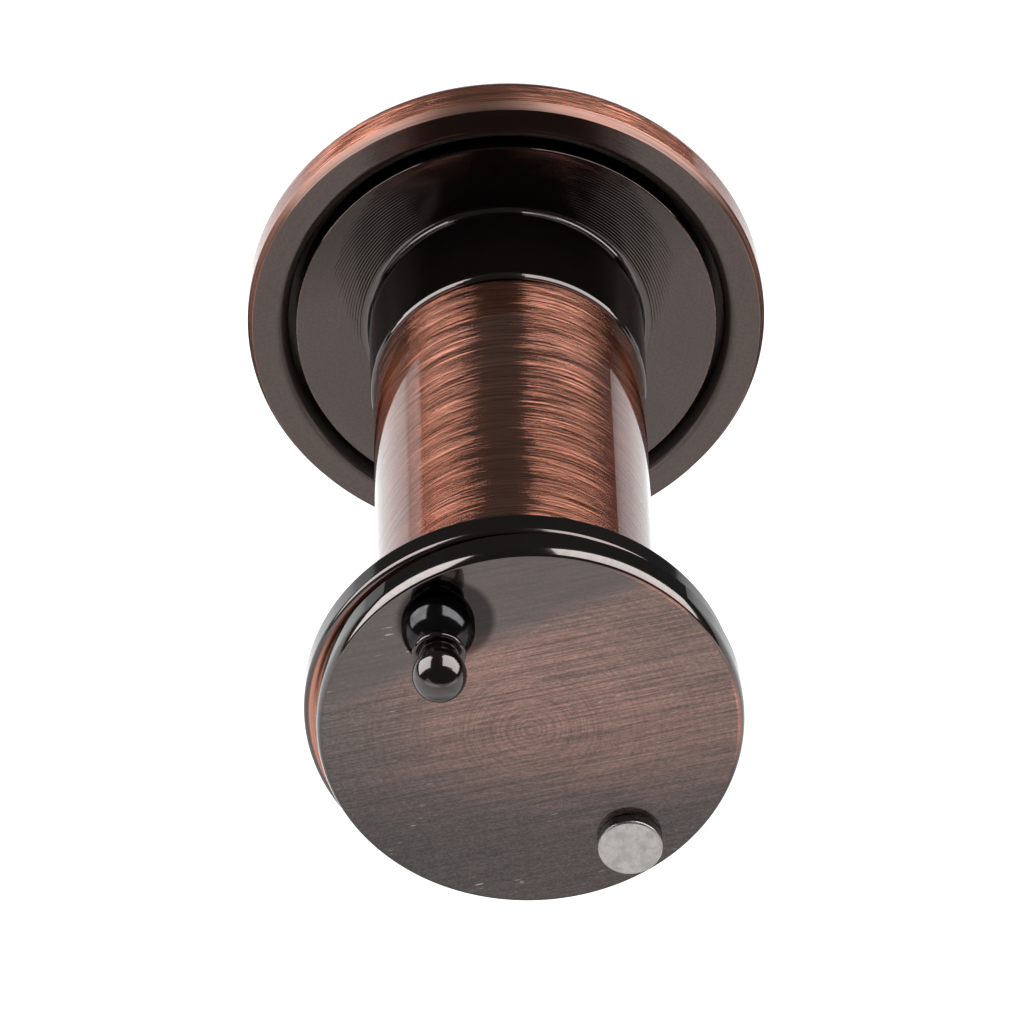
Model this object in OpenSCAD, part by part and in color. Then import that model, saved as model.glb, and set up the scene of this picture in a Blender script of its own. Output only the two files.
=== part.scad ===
// Door viewer in two halves that screw together through the door.
// The street half is a bezel with a wide front lens and a threaded tube. The room half is a sleeve
// with a flange, an eyepiece lens and a thick cover disc that swings aside on a rivet.
// The viewer axis lies along Y. The street half's door seat is at Y = 0, and the room is on the -Y side.

/* [Front lens and bezel] */
// Clear opening in the bezel, in front of the lens
aperture_d = 27; // [24:0.5:30]
// Width of the lens rim that the bezel and the barrel clamp
lens_rim = 1.5; // [1.2:0.1:2]
// Thickness of the front lens at its rim
front_edge_t = 1.4; // [1.2:0.1:2]
// Radius of the domed front of the lens
front_dome_r = 34; // [28:1:45]
// Radius of the hollow back of the lens
front_hollow_r = 26; // [24:1:34]
// Thickness of the seal between lens and bezel
seal_t = 0.5; // [0.3:0.1:0.8]
// Thickness of the bezel's lip over the seal
lip_t = 0.6; // [0.5:0.1:1]
// Height of the bezel's crest above its lip
crest_h = 0.9; // [0.5:0.1:1.4]
// Radial width of the sloped wall from lip to crest
crest_slope = 3.1; // [2:0.1:4]
// Radial width of the flat back face of the rim
rim_w = 2.15; // [1.8:0.05:4]
// Height of the straight rim
rim_h = 2.75; // [2:0.05:4]
// Radial width of the chamfer on the rim's back edge
rim_chamfer = 0.45; // [0.2:0.05:0.8]
// Length of that chamfer along the axis
rim_chamfer_l = 0.95; // [0.4:0.05:1.2]
// How far the rim's back face stands off the door
rim_standoff = 0.05; // [0:0.05:0.8]
// Width of the open groove between disc and rim
groove_w = 0.7; // [0.4:0.05:1.2]
// Radius of the rim's rounded inner back edge
groove_round = 1.35; // [0.5:0.05:1.4]

/* [Objective barrel] */
// Thickness of the seat disc
disc_t = 2.6; // [2.4:0.1:4]
// Radial width of the ledge where the disc sits in the bezel
disc_ledge = 2.95; // [2:0.05:4]
// Rounding of the disc's back edge
disc_round = 0.2; // [0.1:0.05:0.4]
// Height of the boss that screws into the bezel
boss_h = 1.4; // [1:0.1:2.4]
// Wall of the boss around the lens pocket
boss_wall = 2.3; // [1.5:0.1:3]
// Length of the plain neck behind the disc
neck_l = 11.6; // [10:0.1:16]
// How much wider the neck is than the sleeve, each side
neck_step = 0.25; // [0.1:0.05:0.5]
// Fillet at the root of the neck
neck_fillet = 0.3; // [0.1:0.05:0.6]
// Chamfer at the end of the neck
neck_chamfer = 0.35; // [0.1:0.05:0.6]
// Bore of the threaded tube
tube_bore = 18; // [15:0.5:19]
// Wall of the tube, out to the thread's crests
tube_wall = 2.5; // [2:0.1:3.5]
// Length of the threaded tube behind the neck
tube_l = 38.4; // [34:0.2:41]
// Thread pitch
pitch = 1; // [0.75:0.25:1.5]
// Thread depth
thread_h = 0.55; // [0.3:0.05:0.7]

/* [Objective lenses] */
// Wall of the neck around the lens cell
neck_wall = 2.05; // [1.5:0.05:3]
// Thickness of the second lens at its rim
second_edge_t = 2.2; // [2:0.1:3]
// Hollow of the second lens, each side
second_hollow = 0.6; // [0.3:0.1:0.8]
// Thickness of the third lens at its rim
third_edge_t = 3; // [2.6:0.1:3.6]
// Hollow of the third lens, on its room side
third_hollow = 1.6; // [0.8:0.1:2]
// Distance between the rims of the second and third lenses
lens_gap = 2.2; // [1.4:0.1:2.6]
// Radial width of the spacers, lips and retaining rings
ring_w = 1; // [0.8:0.1:1.6]
// Length of the retaining ring in the lens cell
cell_ring_l = 1.8; // [1.2:0.1:2]
// Wall of the lens cell
cell_wall = 0.85; // [0.6:0.05:1.2]
// Thickness of the cell's rear lip
cell_lip_t = 0.8; // [0.6:0.1:1.2]
// How far the cell's front end lies behind the front lens
cell_inset = 0.6; // [0.2:0.1:1]
// Thickness of the shoulder that the cell seats on
shoulder_t = 2; // [1.5:0.1:3]
// Opening of the field stop
stop_d = 14.4; // [12:0.2:16]
// Thickness of the field stop
stop_t = 1.5; // [1:0.1:2]
// How far the field stop sits inside the tube's end
stop_inset = 2; // [0.5:0.1:3]

/* [Eyepiece sleeve and flange] */
// Wall of the sleeve
sleeve_wall = 1.45; // [1.2:0.05:2]
// Visible length of the sleeve between neck and flange
sleeve_l = 50; // [47:0.2:56]
// Gap between neck and sleeve with the halves screwed right in
neck_gap = 0.3; // [0.1:0.05:1]
// Chamfer on the sleeve's end
sleeve_chamfer = 0.15; // [0.05:0.05:0.3]
// Wall of the sleeve around the eyepiece
eye_wall = 1.65; // [1.2:0.05:2.4]
// Thickness of the shoulder for the eyepiece
eye_shoulder_t = 1.2; // [0.8:0.1:2]
// Radial width of the shoulder, spacer and retaining ring
eye_ring_w = 2; // [1.4:0.1:2.6]
// Length of the spacer in front of the eyepiece lens
eye_spacer_l = 1.8; // [1.7:0.1:2.4]
// Thickness of the eyepiece lens at its rim
eye_edge_t = 2; // [1.6:0.1:2.6]
// Bulge of the eyepiece lens, each side
eye_bulge = 1.5; // [1:0.1:1.6]
// Length of the eyepiece retaining ring
eye_ring_l = 2.2; // [1.8:0.1:3]
// Free depth between the retaining ring and the flange lip
eye_relief = 1.6; // [1:0.1:3]
// Radial width of the flange beyond the sleeve
flange_w = 6.85; // [6:0.05:8]
// Thickness of the flange
flange_t = 2.85; // [2.4:0.05:4]
// Thickness of the flange lip that the sleeve butts on
flange_lip_t = 1; // [0.6:0.1:1.4]
// How far the flange lip reaches in over the eyepiece
eye_lip_w = 1.3; // [0.6:0.1:2]
// Edge chamfer of the flange
flange_chamfer = 0.25; // [0.1:0.05:0.5]

/* [Swinging cover] */
// Thickness of the cover disc
cover_t = 3.2; // [2.4:0.1:4]
// How far the cover's edge lies inside the flange's edge
cover_inset = 0.25; // [0:0.05:1]
// Chamfer on the cover's front edge
cover_chamfer = 0.5; // [0.2:0.05:0.8]
// Chamfer on the cover's back edge
cover_back_chamfer = 0.15; // [0.05:0.05:0.3]
// Swing of the cover from its centred place, in degrees
cover_swing = 4; // [0:0.5:8]
// Distance from the sleeve's wall to the rivet's axis
pivot_in = 2.5; // [2.4:0.1:3]
// Direction of the rivet on the flange, in degrees from +X towards +Z
pivot_angle = -50; // [-80:1:-20]
// Diameter of the rivet's shank
rivet_d = 3; // [2.4:0.1:3]
// Diameter of the rivet's head
head_d = 6; // [5.4:0.1:6.4]
// Height of the rivet's head
head_h = 1.2; // [0.8:0.1:1.6]
// Rounding of the rivet's head
head_round = 0.25; // [0.1:0.05:0.4]
// How far the rivet's tail is spread past its shank
tail_spread = 0.5; // [0.3:0.05:0.6]
// Wall of the bush that the cover turns on
bush_wall = 0.6; // [0.4:0.05:0.8]
// Outside diameter of the two washers
washer_d = 8; // [7:0.1:8.4]
// Height of the wave washer
wave_h = 0.5; // [0.4:0.05:0.8]
// Sheet thickness of both washers
washer_t = 0.25; // [0.15:0.05:0.3]

/* [Knob] */
// Distance from the cover's edge to the knob's axis
knob_edge = 5.3; // [4.8:0.1:7]
// Diameter of the knob's domed foot
knob_foot_d = 6.7; // [6:0.1:7.4]
// Height of the foot's straight edge
knob_rim = 0.4; // [0.2:0.1:0.8]
// Height of the foot's dome
knob_dome_h = 3.2; // [2.8:0.1:4]
// Diameter of the narrow stem
knob_stem_d = 3.4; // [3:0.1:3.8]
// Diameter of the collar on the stem
collar_d = 4.9; // [4.4:0.1:5.6]
// Thickness of the collar
collar_t = 0.7; // [0.5:0.1:1]
// Distance from foot to collar
collar_gap = 0.5; // [0.3:0.1:1]
// Diameter of the ball
ball_d = 5; // [4.4:0.1:5.6]
// Height of the ball's centre above the cover
ball_h = 7.7; // [7.4:0.1:8.6]
// Diameter of the screw that holds the knob
screw_d = 2; // [1.6:0.1:2.2]
// Diameter of the screw's countersunk head
screw_head_d = 3.8; // [3.4:0.1:4.2]
// How far the screw goes into the knob
screw_grip = 3.6; // [2.6:0.1:4]
// Width and depth of the screw's slot
slot_w = 0.5; // [0.3:0.1:0.6]

/* [Clearances] */
// Radial clearance of parts that are pressed or dropped into place
fit_gap = 0.05; // [0.02:0.01:0.1]
// Radial clearance of the screw thread
thread_gap = 0.05; // [0.03:0.01:0.1]
// Clearance of parts that turn against each other
run_gap = 0.05; // [0.03:0.01:0.1]

/* [Hidden] */
$fn = 128;
arc_steps = 10;
lens_fn = 320;
ridge_w = pitch / 2;
ridge_top = pitch / 10;
washer_waves = 3;
washer_steps = 48;
// How far a cut runs past the faces that it opens
cut_over = 1;

// Colours of the finishes
COPPER = [0.60, 0.36, 0.29];
BRONZE = [0.38, 0.33, 0.31];
BLACK = [0.07, 0.065, 0.065];
SILVER = [0.78, 0.76, 0.73];
GLASS = [0.70, 0.82, 0.85, 0.45];
RUBBER = [0.10, 0.10, 0.10];

// Radii of the street half, from the lens outwards
aperture_r = aperture_d / 2;
front_lens_r = aperture_r + lens_rim;
lens_pocket_r = front_lens_r + fit_gap;
boss_r = lens_pocket_r + boss_wall;
disc_r = boss_r + fit_gap + disc_ledge;
pocket_r = disc_r + groove_w;
rim_inner_r = pocket_r + groove_round;
rim_r = rim_inner_r + rim_w + rim_chamfer;
crest_r = aperture_r + crest_slope;

// Radii of the barrel and sleeve, from the bore outwards
tube_r = tube_bore / 2;
thread_r = tube_r + tube_wall;
sleeve_bore_r = thread_r + thread_gap;
sleeve_r = sleeve_bore_r + sleeve_wall;
neck_r = sleeve_r + neck_step;
cell_seat_r = neck_r - neck_wall;
cell_r = cell_seat_r - fit_gap;
cell_bore_r = cell_r - cell_wall;
lens_r = cell_bore_r - fit_gap;
ring_bore_r = lens_r - ring_w;
eye_seat_r = sleeve_r - eye_wall;
eye_r = eye_seat_r - run_gap;
eye_ring_bore_r = eye_r - eye_ring_w;
eye_hole_r = eye_r - eye_lip_w;
flange_r = sleeve_r + flange_w;
cover_r = flange_r - cover_inset;
pivot_r = sleeve_r + pivot_in;
bush_r = rivet_d / 2 + run_gap + bush_wall;
knob_r = cover_r - knob_edge;

// Stations of the street half, as distances from the door seat towards the room
boss_front = -(disc_t + boss_h);
lens_front = boss_front - front_edge_t;
lip_back = lens_front - seal_t;
lip_front = lip_back - lip_t;
crest = lip_front - crest_h;
rim_back = -rim_standoff;
rim_start = rim_back - rim_chamfer_l;
rim_end = rim_start - rim_h;
tube_end = neck_l + tube_l;
cell_seat = neck_l - shoulder_t;
third_back = cell_seat - cell_lip_t;
third_front = third_back - third_edge_t;
second_back = third_front - lens_gap;
second_front = second_back - second_edge_t;
cell_ring_front = second_front - cell_ring_l;
cell_front = boss_front + cell_inset;
stop_back = tube_end - stop_inset;

// Stations of the room half
sleeve_start = neck_l + neck_gap;
flange_back = sleeve_start + sleeve_l;
flange_front = flange_back + flange_t;
sleeve_end = flange_front - flange_lip_t;
eye_ring_back = sleeve_end - eye_relief;
eye_back = eye_ring_back - eye_ring_l;
eye_front = eye_back - eye_edge_t;
eye_spacer_front = eye_front - eye_spacer_l;
eye_shoulder_front = eye_spacer_front - eye_shoulder_t;
thrust_front = flange_front + run_gap + wave_h;
cover_back = thrust_front + washer_t + run_gap;
cover_front = cover_back + cover_t;
head_back = cover_front + run_gap;

// Points of a quarter round from angle a0 to a1 about [x, y]
function quarter(x, y, r, a0, a1) =
    [for (i = [0 : arc_steps]) let (a = a0 + (a1 - a0) * i / arc_steps) [x + r * cos(a), y + r * sin(a)]];

// Radius of a sphere whose cap of rim radius r has height h
function cap_radius(r, h) = (r * r + h * h) / (2 * h);

// Local Z runs along the viewer axis towards the room
module on_axis() rotate([90, 0, 0]) children();

module turned(points) rotate_extrude() polygon(points);

module tube(r_out, r_in, start, end) {
    turned([[r_in, start], [r_out, start], [r_out, end], [r_in, end]]);
}

// Shape that cuts a through hole of radius r with a 45 degree countersink of depth sink at its start
module sunk_hole(r, sink, start, end) {
    turned([
        [0, start - cut_over], [r + sink + cut_over, start - cut_over], [r, start + sink],
        [r, end + cut_over], [0, end + cut_over]
    ]);
}

module at_pivot() rotate([0, 0, pivot_angle]) translate([pivot_r, 0, 0]) children();

// Carries what is placed on a centred cover to where the swung cover is
module on_cover() {
    at_pivot() rotate([0, 0, -cover_swing]) translate([-pivot_r, 0, 0]) rotate([0, 0, -pivot_angle]) children();
}

module at_knob() on_cover() rotate([0, 0, pivot_angle + 180]) translate([knob_r, 0, 0]) children();

// Cap of a lens face: a slice of a sphere that bulges from station s, towards the street when side is -1
module lens_cap(r, h, s, side) {
    ball_r = cap_radius(r, h);
    intersection() {
        translate([0, 0, s + side * (h - ball_r)]) sphere(ball_r, $fn = lens_fn);
        translate([0, 0, side < 0 ? s - h : s]) cylinder(r = r, h = h);
    }
}

module outer_bezel() color(COPPER) on_axis() turned(concat(
    [[rim_r - rim_chamfer, rim_back], [rim_r, rim_start], [rim_r, rim_end]],
    [for (i = [1 : arc_steps]) let (a = 90 * i / arc_steps)
        [crest_r + (rim_r - crest_r) * cos(a), rim_end + (crest - rim_end) * sin(a)]],
    [[aperture_r, lip_front], [aperture_r, lip_back], [lens_pocket_r, lip_back],
     [lens_pocket_r, boss_front - fit_gap], [boss_r + fit_gap, boss_front - fit_gap],
     [boss_r + fit_gap, -disc_t], [pocket_r, -disc_t]],
    quarter(rim_inner_r, rim_back - groove_round, groove_round, 180, 90)
));

module front_lens_seal() color(RUBBER) on_axis() tube(front_lens_r, aperture_r + fit_gap, lip_back, lens_front);

module front_lens() color(GLASS) on_axis() {
    dome_r = aperture_r - fit_gap;
    dome_h = front_dome_r - sqrt(front_dome_r * front_dome_r - dome_r * dome_r);
    hollow_h = front_hollow_r - sqrt(front_hollow_r * front_hollow_r - pow(aperture_r - lens_rim, 2));
    difference() {
        union() {
            translate([0, 0, lens_front]) cylinder(r = front_lens_r, h = front_edge_t);
            lens_cap(dome_r, dome_h, lens_front, -1);
        }
        translate([0, 0, boss_front - hollow_h + front_hollow_r]) sphere(front_hollow_r, $fn = lens_fn);
    }
}

module objective_barrel() color(BRONZE) on_axis() difference() {
    ridges = floor(tube_l / pitch) - 1;
    ridge = [[-thread_h, -ridge_w / 2], [0, -ridge_top / 2], [0, ridge_top / 2], [-thread_h, ridge_w / 2]];
    turned(concat(
        [[0, boss_front], [boss_r, boss_front], [boss_r, -disc_t], [disc_r, -disc_t]],
        quarter(disc_r - disc_round, -disc_round, disc_round, 0, 90),
        quarter(neck_r + neck_fillet, neck_fillet, neck_fillet, 270, 180),
        [[neck_r, neck_l - neck_chamfer], [neck_r - neck_chamfer, neck_l], [thread_r - thread_h, neck_l]],
        [for (i = [1 : ridges], p = ridge) [thread_r + p[0], neck_l + i * pitch + p[1]]],
        [[thread_r - thread_h, tube_end], [0, tube_end]]
    ));
    turned([
        [0, boss_front - cut_over], [cell_seat_r, boss_front - cut_over], [cell_seat_r, cell_seat],
        [tube_r, cell_seat], [tube_r, tube_end + cut_over], [0, tube_end + cut_over]
    ]);
}

module lens_cell() color(BLACK) on_axis() turned([
    [cell_bore_r, cell_front], [cell_r, cell_front], [cell_r, cell_seat], [ring_bore_r, cell_seat],
    [ring_bore_r, third_back], [cell_bore_r, third_back]
]);

module second_lens() color(GLASS) on_axis() {
    hollow_r = ring_bore_r - fit_gap;
    ball_r = cap_radius(hollow_r, second_hollow);
    difference() {
        translate([0, 0, second_front]) cylinder(r = lens_r, h = second_edge_t);
        translate([0, 0, second_front + second_hollow - ball_r]) sphere(ball_r, $fn = lens_fn);
        translate([0, 0, second_back - second_hollow + ball_r]) sphere(ball_r, $fn = lens_fn);
    }
}

module lens_spacer() color(BLACK) on_axis() tube(lens_r, ring_bore_r, second_back, third_front);

module third_lens() color(GLASS) on_axis() {
    ball_r = cap_radius(ring_bore_r - fit_gap, third_hollow);
    difference() {
        translate([0, 0, third_front]) cylinder(r = lens_r, h = third_edge_t);
        translate([0, 0, third_back - third_hollow + ball_r]) sphere(ball_r, $fn = lens_fn);
    }
}

module cell_retaining_ring() color(BLACK) on_axis() tube(lens_r, ring_bore_r, cell_ring_front, second_front);

module field_stop() color(BLACK) on_axis() tube(tube_r - fit_gap, stop_d / 2, stop_back - stop_t, stop_back);

module eyepiece_spacer() color(BLACK) on_axis() {
    tube(eye_r, eye_ring_bore_r, eye_spacer_front + run_gap, eye_front);
}

module eyepiece_lens() color(GLASS) on_axis() {
    cap_r = eye_ring_bore_r - fit_gap;
    translate([0, 0, eye_front]) cylinder(r = eye_r, h = eye_edge_t);
    lens_cap(cap_r, eye_bulge, eye_front, -1);
    lens_cap(cap_r, eye_bulge, eye_back, 1);
}

module eyepiece_retaining_ring() color(BLACK) on_axis() {
    tube(eye_r, eye_ring_bore_r, eye_back, eye_ring_back);
}

module eyepiece_sleeve() color(COPPER) on_axis() turned([
    [sleeve_bore_r, sleeve_start], [sleeve_r - sleeve_chamfer, sleeve_start],
    [sleeve_r, sleeve_start + sleeve_chamfer], [sleeve_r, sleeve_end], [eye_seat_r, sleeve_end],
    [eye_seat_r, eye_spacer_front], [eye_ring_bore_r, eye_spacer_front],
    [eye_ring_bore_r, eye_shoulder_front], [sleeve_bore_r, eye_shoulder_front]
]);

module eyepiece_flange() color(COPPER) on_axis() difference() {
    turned([
        [sleeve_r + fit_gap, flange_back], [flange_r - flange_chamfer, flange_back],
        [flange_r, flange_back + flange_chamfer], [flange_r, flange_front - flange_chamfer],
        [flange_r - flange_chamfer, flange_front], [eye_hole_r, flange_front], [eye_hole_r, sleeve_end],
        [sleeve_r + fit_gap, sleeve_end]
    ]);
    at_pivot() sunk_hole(rivet_d / 2 + fit_gap, tail_spread, flange_back, flange_front);
}

module pivot_rivet() color(SILVER) on_axis() at_pivot() turned(concat(
    [[0, flange_back + fit_gap], [rivet_d / 2 + tail_spread - fit_gap, flange_back + fit_gap],
     [rivet_d / 2, flange_back + tail_spread], [rivet_d / 2, head_back], [head_d / 2, head_back]],
    quarter(head_d / 2 - head_round, head_back + head_h - head_round, head_round, 0, 90),
    [[0, head_back + head_h]]
));

module pivot_bush() color(SILVER) on_axis() at_pivot() tube(bush_r, rivet_d / 2 + fit_gap, flange_front, head_back);

// Thin ring whose height follows a sine around it, so it touches flange and washer at its crests only
module wave_washer() color(SILVER) on_axis() at_pivot() {
    r_in = bush_r + run_gap;
    lift = (wave_h - washer_t) / 2;
    corners = [[r_in, 0], [washer_d / 2, 0], [washer_d / 2, washer_t], [r_in, washer_t]];
    points = [for (i = [0 : washer_steps - 1], c = corners) let (a = 360 * i / washer_steps)
        [c[0] * cos(a), c[0] * sin(a), flange_front + run_gap / 2 + lift * (1 + sin(washer_waves * a)) + c[1]]];
    faces = [for (i = [0 : washer_steps - 1], k = [0 : 3]) let (
        p = 4 * i + k, q = 4 * i + (k + 1) % 4, n = 4 * ((i + 1) % washer_steps))
        each [[p, n + k, q], [q, n + k, n + (k + 1) % 4]]];
    polyhedron(points, faces);
}

module thrust_washer() color(SILVER) on_axis() at_pivot() {
    tube(washer_d / 2, bush_r + run_gap, thrust_front, thrust_front + washer_t);
}

module cover_plate() color(BRONZE) on_axis() difference() {
    on_cover() turned([
        [0, cover_back], [cover_r - cover_back_chamfer, cover_back], [cover_r, cover_back + cover_back_chamfer],
        [cover_r, cover_front - cover_chamfer], [cover_r - cover_chamfer, cover_front], [0, cover_front]
    ]);
    at_pivot() translate([0, 0, cover_back - cut_over]) cylinder(r = bush_r + run_gap, h = cover_t + 2 * cut_over);
    at_knob() sunk_hole(screw_d / 2 + fit_gap, (screw_head_d - screw_d) / 2, cover_back, cover_front);
}

module knob() color(BLACK) on_axis() at_knob() translate([0, 0, cover_front]) {
    foot_r = knob_foot_d / 2;
    stem_r = knob_stem_d / 2;
    ball_r = ball_d / 2;
    foot_top = knob_rim + knob_dome_h;
    dome_end = acos(stem_r / foot_r);
    collar_mid = foot_top + collar_gap + collar_t / 2;
    turned(concat(
        [[0, screw_grip + fit_gap], [screw_d / 2 + fit_gap, screw_grip + fit_gap],
         [screw_d / 2 + fit_gap, 0], [foot_r, 0]],
        [for (i = [0 : arc_steps]) let (a = dome_end * i / arc_steps)
            [foot_r * cos(a), knob_rim + knob_dome_h * sin(a)]],
        [[stem_r, collar_mid - collar_t / 2]],
        quarter(collar_d / 2 - collar_t / 2, collar_mid, collar_t / 2, -90, 90),
        [[stem_r, collar_mid + collar_t / 2]],
        quarter(0, ball_h, ball_r, asin(stem_r / ball_r) - 90, 90)
    ));
}

module knob_screw() color(SILVER) on_axis() at_knob() translate([0, 0, cover_back]) difference() {
    head_h = (screw_head_d - screw_d) / 2;
    turned([
        [0, fit_gap], [screw_head_d / 2 - fit_gap, fit_gap], [screw_d / 2, head_h],
        [screw_d / 2, cover_t + screw_grip], [0, cover_t + screw_grip]
    ]);
    translate([-screw_head_d, -slot_w / 2, 0]) cube([2 * screw_head_d, slot_w, slot_w + fit_gap]);
}

outer_bezel();
front_lens_seal();
front_lens();
objective_barrel();
lens_cell();
second_lens();
lens_spacer();
third_lens();
cell_retaining_ring();
field_stop();
eyepiece_spacer();
eyepiece_lens();
eyepiece_retaining_ring();
eyepiece_sleeve();
eyepiece_flange();
pivot_rivet();
pivot_bush();
wave_washer();
thrust_washer();
cover_plate();
knob();
knob_screw();
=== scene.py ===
import math

import bpy
from mathutils import Matrix, Vector


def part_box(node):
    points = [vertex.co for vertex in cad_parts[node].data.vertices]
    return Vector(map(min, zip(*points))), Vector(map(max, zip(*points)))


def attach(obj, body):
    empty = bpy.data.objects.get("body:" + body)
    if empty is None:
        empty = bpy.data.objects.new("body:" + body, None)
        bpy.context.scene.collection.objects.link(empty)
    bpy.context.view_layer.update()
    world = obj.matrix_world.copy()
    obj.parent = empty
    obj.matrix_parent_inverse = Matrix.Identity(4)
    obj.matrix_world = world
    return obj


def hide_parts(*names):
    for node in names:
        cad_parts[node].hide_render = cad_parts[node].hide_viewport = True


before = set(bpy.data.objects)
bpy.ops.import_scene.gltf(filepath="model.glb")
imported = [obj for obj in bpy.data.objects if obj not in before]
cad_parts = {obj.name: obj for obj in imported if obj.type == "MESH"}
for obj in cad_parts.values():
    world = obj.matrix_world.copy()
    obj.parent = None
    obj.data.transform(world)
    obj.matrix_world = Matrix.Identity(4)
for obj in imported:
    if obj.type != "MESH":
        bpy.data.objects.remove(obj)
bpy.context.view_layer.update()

# View
# The viewer is seen from the room, from above and a touch to the left, with a long lens a metre away.
# It is drawn in metres, along Y: the street half's door seat is at Y = 0 and the room on the -Y side.
mm = 0.001
view_azimuth = math.radians(1.18)
view_elevation = math.radians(33.92)
view_distance = 987.5 * mm
view_aim = Vector((-0.17, -35.0, 1.92)) * mm
look = Vector((
    math.sin(view_azimuth) * math.cos(view_elevation),
    math.cos(view_azimuth) * math.cos(view_elevation),
    -math.sin(view_elevation),
))
camera = bpy.data.objects.new("camera", bpy.data.cameras.new("camera"))
camera.data.sensor_width = 36
camera.data.lens = 370.2
camera.data.clip_start = 0.01
camera.location = view_aim - look * view_distance
camera.rotation_mode = "QUATERNION"
camera.rotation_quaternion = look.to_track_quat("-Z", "Y")
bpy.context.scene.collection.objects.link(camera)
bpy.context.scene.camera = camera

# Studio
# A white table well below the viewer, a dim room, and two large soft boxes to the left and right overhead.
# The narrow dark gap between the boxes draws the dark line down the polished barrel, and two low cards
# in front of the viewer light the faces that look into the room.
bpy.context.scene.view_settings.view_transform = "Standard"


class Wire:
    """An output of a node tree. Sums of wires become Math nodes, and add() makes any other node."""

    def __init__(self, tree, socket=None):
        self.tree = tree
        self.socket = socket

    def add(self, kind, settings=(), sockets=(), out=0):
        node = self.tree.nodes.new(kind)
        for name, value in dict(settings).items():
            setattr(node, name, value)
        for key, value in dict(sockets).items():
            if isinstance(value, Wire):
                self.tree.links.new(value.socket, node.inputs[key])
            else:
                node.inputs[key].default_value = value
        return Wire(self.tree, node.outputs[out] if node.outputs else None)

    def out(self, name):
        return Wire(self.tree, self.socket.node.outputs[name])

    def math(self, operation, *terms):
        return self.add("ShaderNodeMath", {"operation": operation}, enumerate(terms))

    def __add__(self, other):
        return self.math("ADD", self, other)

    def __radd__(self, other):
        return self.math("ADD", other, self)

    def __sub__(self, other):
        return self.math("SUBTRACT", self, other)

    def __rsub__(self, other):
        return self.math("SUBTRACT", other, self)

    def __mul__(self, other):
        return self.math("MULTIPLY", self, other)

    def __rmul__(self, other):
        return self.math("MULTIPLY", other, self)

    def __truediv__(self, other):
        return self.math("DIVIDE", self, other)

    def ramp(self, low, high, to_low=0.0, to_high=1.0):
        """Smooth step from to_low at low to to_high at high."""
        sockets = {"Value": self, "From Min": low, "From Max": high, "To Min": to_low, "To Max": to_high}
        return self.add("ShaderNodeMapRange", {"interpolation_type": "SMOOTHSTEP"}, sockets)

    def vector(self, x, y, z):
        return self.add("ShaderNodeCombineXYZ", {}, {"X": x, "Y": y, "Z": z})

    def noise(self, x, y, z, detail=2.0, roughness=0.5):
        """Noise from 0 to 1 at a place given in its own periods: x * 9 is nine to the millimetre."""
        sockets = {"Vector": self.vector(x, y, z), "Scale": 1.0, "Detail": detail, "Roughness": roughness}
        return self.add("ShaderNodeTexNoise", {}, sockets)

    def blend(self, mask, first, second):
        """Colour that goes from first to second as mask goes from 0 to 1."""
        return self.add("ShaderNodeMix", {"data_type": "RGBA"}, {0: mask, 6: first, 7: second}, out=2)

    def times(self, factor):
        """This colour, made brighter or darker."""
        return self.add("ShaderNodeVectorMath", {"operation": "SCALE"}, {0: self, "Scale": factor})

    def tilted(self, x, y, z):
        """The surface normal, leaned by a vector in the piece's own axes."""
        lean = self.add(
            "ShaderNodeVectorTransform",
            {"vector_type": "VECTOR", "convert_from": "OBJECT", "convert_to": "WORLD"},
            {0: self.vector(x, y, z)},
        )
        normal = self.add("ShaderNodeNewGeometry").out("Normal")
        total = self.add("ShaderNodeVectorMath", {"operation": "ADD"}, {0: normal, 1: lean})
        return self.add("ShaderNodeVectorMath", {"operation": "NORMALIZE"}, {0: total})


def finish(name, paint):
    """Material whose sockets come from paint(wire, x, y, z), given the place on the piece in millimetres."""
    material = bpy.data.materials.new(name)
    material.use_nodes = True
    tree = material.node_tree
    tree.nodes.clear()
    wire = Wire(tree)
    place = wire.add("ShaderNodeTexCoord").out("Object")
    parts = wire.add("ShaderNodeSeparateXYZ", {}, {0: place})
    x, y, z = (parts.out(axis) / mm for axis in "XYZ")
    shader = wire.add("ShaderNodeBsdfPrincipled", {}, paint(wire, x, y, z))
    wire.add("ShaderNodeOutputMaterial", {}, {"Surface": shader})
    return material


def grey(level):
    return (level, level, level, 1)


def table_top(wire, x, y, z):
    """White table: a painted shadow under the viewer, duller at the right, and painted light far away that
    stands in for a lit wall.
    """
    middle_y = 50
    depth = y + middle_y
    away = wire.math("SQRT", x * x + depth * depth) + wire.noise(x / 40, y / 40, z / 40) * 10
    # Painted shadow: the table is greyer and gives off no light within about 110 mm of the middle under the
    # viewer.
    clear = away.ramp(30, 110)
    far = away.ramp(420, 580)
    end = away.ramp(1200, 2000)
    right = x.ramp(60, 110)
    white = wire.blend(right, grey(0.69), grey(0.57))
    white = wire.blend(clear, grey(0.32), white)
    # Painted light: the table glows a little outside the painted shadow, and far away it glows brighter, as a
    # lit wall would look.
    painted_glow = wire.blend(clear, grey(0), grey(0.16))
    wall = wire.blend(x.ramp(-200, 200), grey(1.2), grey(0.9))
    wall = wire.blend(end, wall, grey(0.7))
    return {
        "Base Color": wire.blend(far, white, grey(0.1)),
        "Emission Color": wire.blend(far, painted_glow, wall),
        "Emission Strength": 1.0,
        "Roughness": 0.8,
    }


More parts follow.
